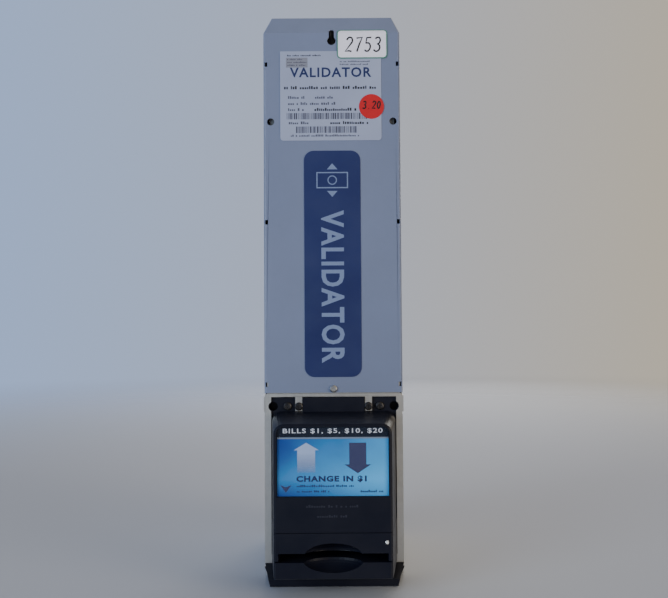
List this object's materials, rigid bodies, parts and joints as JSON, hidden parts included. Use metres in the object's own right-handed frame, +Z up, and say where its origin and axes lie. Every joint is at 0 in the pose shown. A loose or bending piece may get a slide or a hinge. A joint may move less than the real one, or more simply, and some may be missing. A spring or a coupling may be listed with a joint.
{
  "type": "bill validator",
  "caption": "Vending-machine bill validator with recycler: tall painted housing, black bezel with bill mouth, transport head, storage drum and a sprung bill store behind a rear door.",
  "frame": {"origin": "under the middle of the object's box, on the surface it stands on", "axes": "+Z up along the tall housing, -Y out of the bezel and the bill mouth, +X to the right as seen from the front"},
  "size_m": [0.1048, 0.1836, 0.4265],
  "materials": {
    "grey_blue_paint": "satin powder coat, slightly textured",
    "zinc_plate": "bare zinc-plated sheet",
    "bright_steel": "plain bright steel",
    "black_steel": "black-oxide finish",
    "black_plastic": "moulded, fine texture",
    "grey_plastic": "moulded, plain",
    "white_acetal": "moulded acetal",
    "dark_rubber": "ground rubber",
    "brass": "machined",
    "circuit_board": "solder-masked laminate",
    "card_print": "printed card",
    "clear_window": "clear polished plastic",
    "led_lens": "milky lens",
    "label_foil": "silver printed label",
    "navy_vinyl": "printed vinyl panel"
  },
  "bodies": {
    "housing": {"base_shoe": "black_plastic", "bezel_body": "black_plastic", "bezel_screw_1": "black_steel", "bezel_screw_2": "black_steel", "bezel_screw_3": "black_steel", "bezel_screw_4": "black_steel", "bill_rails": "zinc_plate", "card_insert": "card_print", "card_window": "clear_window", "control_board": "circuit_board", "cover_screw": "bright_steel", "cross_bracket": "zinc_plate", "door_hinge_pin": "bright_steel", "emblem_panel": "navy_vinyl", "front_cover": "grey_blue_paint", "gate_solenoid": "bright_steel", "guide_hinge_pin": "bright_steel", "harness_connector": "black_plastic", "head_frame": "grey_plastic", "magazine_box": "grey_plastic", "mounting_plate": "zinc_plate", "mouth_lower": "black_plastic", "mouth_upper": "black_plastic", "pressure_spring": "bright_steel", "rating_label": "label_foil", "rear_cover": "black_plastic", "rear_path_guide": "grey_plastic", "recycler_frame": "grey_plastic", "recycler_motor": "bright_steel", "sensor_board_upper": "circuit_board", "side_plate_left": "zinc_plate", "side_plate_right": "zinc_plate", "stacker_bridge": "zinc_plate", "stacker_motor": "bright_steel", "status_led": "led_lens", "transport_belt": "dark_rubber", "transport_motor": "bright_steel"},
    "rear_door": {"rear_door": "grey_blue_paint"},
    "door_lock": {"door_lock": "bright_steel"},
    "guide_tray": {"lower_guide": "grey_plastic", "sensor_board_lower": "circuit_board"},
    "guide_latch": {"guide_latch": "white_acetal"},
    "idler_front": {"idler_rollers_front": "dark_rubber"},
    "idler_rear": {"idler_rollers_rear": "dark_rubber"},
    "inlet_drive": {"inlet_rollers": "dark_rubber"},
    "main_drive": {"main_rollers": "dark_rubber"},
    "riser_drive": {"riser_rollers": "dark_rubber"},
    "top_drive": {"top_rollers": "dark_rubber"},
    "head_idler": {"idler_gear": "white_acetal"},
    "motor_shaft": {"motor_pinion": "brass"},
    "drum": {"recycler_drum": "black_plastic", "drum_gear": "white_acetal"},
    "store_idler": {"recycler_idler_gear": "white_acetal"},
    "store_motor_shaft": {"recycler_pinion": "brass"},
    "spool": {"tape_spool": "white_acetal"},
    "gate": {"diverter_gate": "white_acetal"},
    "pusher": {"pusher_plate": "white_acetal"},
    "pusher_drive": {"pusher_pinion": "brass"},
    "pressure": {"pressure_plate": "grey_plastic"}
  },
  "joints": [
    {"name": "door_swing", "type": "hinge", "parent": "housing", "child": "rear_door", "pos_m": [-0.049, 0.08775, 0.28], "axis": [0, 0, 1], "range_deg": [0, 110]},
    {"name": "door_lock_turn", "type": "hinge", "parent": "rear_door", "child": "door_lock", "pos_m": [0.04, 0.08595, 0.276], "axis": [0, 1, 0], "range_deg": [0, 90]},
    {"name": "guide_drop", "type": "hinge", "parent": "housing", "child": "guide_tray", "pos_m": [0, -0.03425, 0.005], "axis": [-1, 0, 0], "range_deg": [0, 50]},
    {"name": "latch_slide", "type": "slide", "parent": "guide_tray", "child": "guide_latch", "axis": [0, -1, 0], "range_m": [0, 0.004], "stiffness_N_per_m": 150, "springref_m": -0.003},
    {"name": "main_spin", "type": "hinge", "parent": "housing", "child": "main_drive", "pos_m": [0, 0.02225, 0.0365], "axis": [1, 0, 0], "continuous": true},
    {"name": "inlet_spin", "type": "hinge", "parent": "housing", "child": "inlet_drive", "pos_m": [0, -0.02975, 0.0365], "axis": [1, 0, 0], "continuous": true},
    {"name": "riser_spin", "type": "hinge", "parent": "housing", "child": "riser_drive", "pos_m": [0, 0.04815, 0.105], "axis": [1, 0, 0], "continuous": true},
    {"name": "top_spin", "type": "hinge", "parent": "housing", "child": "top_drive", "pos_m": [0, 0.04815, 0.2335], "axis": [1, 0, 0], "continuous": true},
    {"name": "idler_front_spin", "type": "hinge", "parent": "guide_tray", "child": "idler_front", "pos_m": [0, -0.02975, 0.022], "axis": [1, 0, 0], "continuous": true},
    {"name": "idler_rear_spin", "type": "hinge", "parent": "guide_tray", "child": "idler_rear", "pos_m": [0, 0.02225, 0.022], "axis": [1, 0, 0], "continuous": true},
    {"name": "head_idler_spin", "type": "hinge", "parent": "housing", "child": "head_idler", "pos_m": [0, 0.01051, 0.05857], "axis": [1, 0, 0], "continuous": true},
    {"name": "motor_spin", "type": "hinge", "parent": "housing", "child": "motor_shaft", "pos_m": [0, -0.00767, 0.06907], "axis": [1, 0, 0], "continuous": true},
    {"name": "drum_spin", "type": "hinge", "parent": "housing", "child": "drum", "pos_m": [0, 0.01025, 0.187], "axis": [1, 0, 0], "continuous": true},
    {"name": "store_idler_spin", "type": "hinge", "parent": "housing", "child": "store_idler", "pos_m": [0, -0.01308, 0.16367], "axis": [1, 0, 0], "continuous": true},
    {"name": "store_motor_spin", "type": "hinge", "parent": "housing", "child": "store_motor_shaft", "pos_m": [0, -0.02369, 0.15306], "axis": [1, 0, 0], "continuous": true},
    {"name": "spool_spin", "type": "hinge", "parent": "housing", "child": "spool", "pos_m": [0, -0.02425, 0.2265], "axis": [1, 0, 0], "continuous": true},
    {"name": "gate_swing", "type": "hinge", "parent": "housing", "child": "gate", "pos_m": [0, 0.04875, 0.2125], "axis": [1, 0, 0], "range_deg": [0, 25], "stiffness_Nm_per_rad": 0.02, "springref_deg": -5.73},
    {"name": "pusher_slide", "type": "slide", "parent": "housing", "child": "pusher", "axis": [0, -1, 0], "range_m": [0, 0.013]},
    {"name": "pusher_drive_spin", "type": "hinge", "parent": "housing", "child": "pusher_drive", "pos_m": [0, 0.06945, 0.335], "axis": [-1, 0, 0], "range_deg": [0, 125]},
    {"name": "pressure_slide", "type": "slide", "parent": "housing", "child": "pressure", "axis": [0, -1, 0], "range_m": [0, 0.06], "stiffness_N_per_m": 60, "springref_m": -0.05, "deforming": ["pressure_spring"]}
  ],
  "couplings": [
    {"joint": "inlet_spin", "follows": "main_spin", "ratio": 1},
    {"joint": "riser_spin", "follows": "main_spin", "ratio": 1},
    {"joint": "top_spin", "follows": "main_spin", "ratio": 1},
    {"joint": "idler_front_spin", "follows": "main_spin", "ratio": -1.7308},
    {"joint": "idler_rear_spin", "follows": "main_spin", "ratio": -1.7308},
    {"joint": "head_idler_spin", "follows": "main_spin", "ratio": -0.66667},
    {"joint": "motor_spin", "follows": "main_spin", "ratio": 1.6667},
    {"joint": "store_idler_spin", "follows": "drum_spin", "ratio": -2.6667},
    {"joint": "store_motor_spin", "follows": "drum_spin", "ratio": 4},
    {"joint": "spool_spin", "follows": "drum_spin", "ratio": 3.1591},
    {"joint": "pusher_drive_spin", "follows": "pusher_slide", "rad_per_m": 166.67}
  ]
}
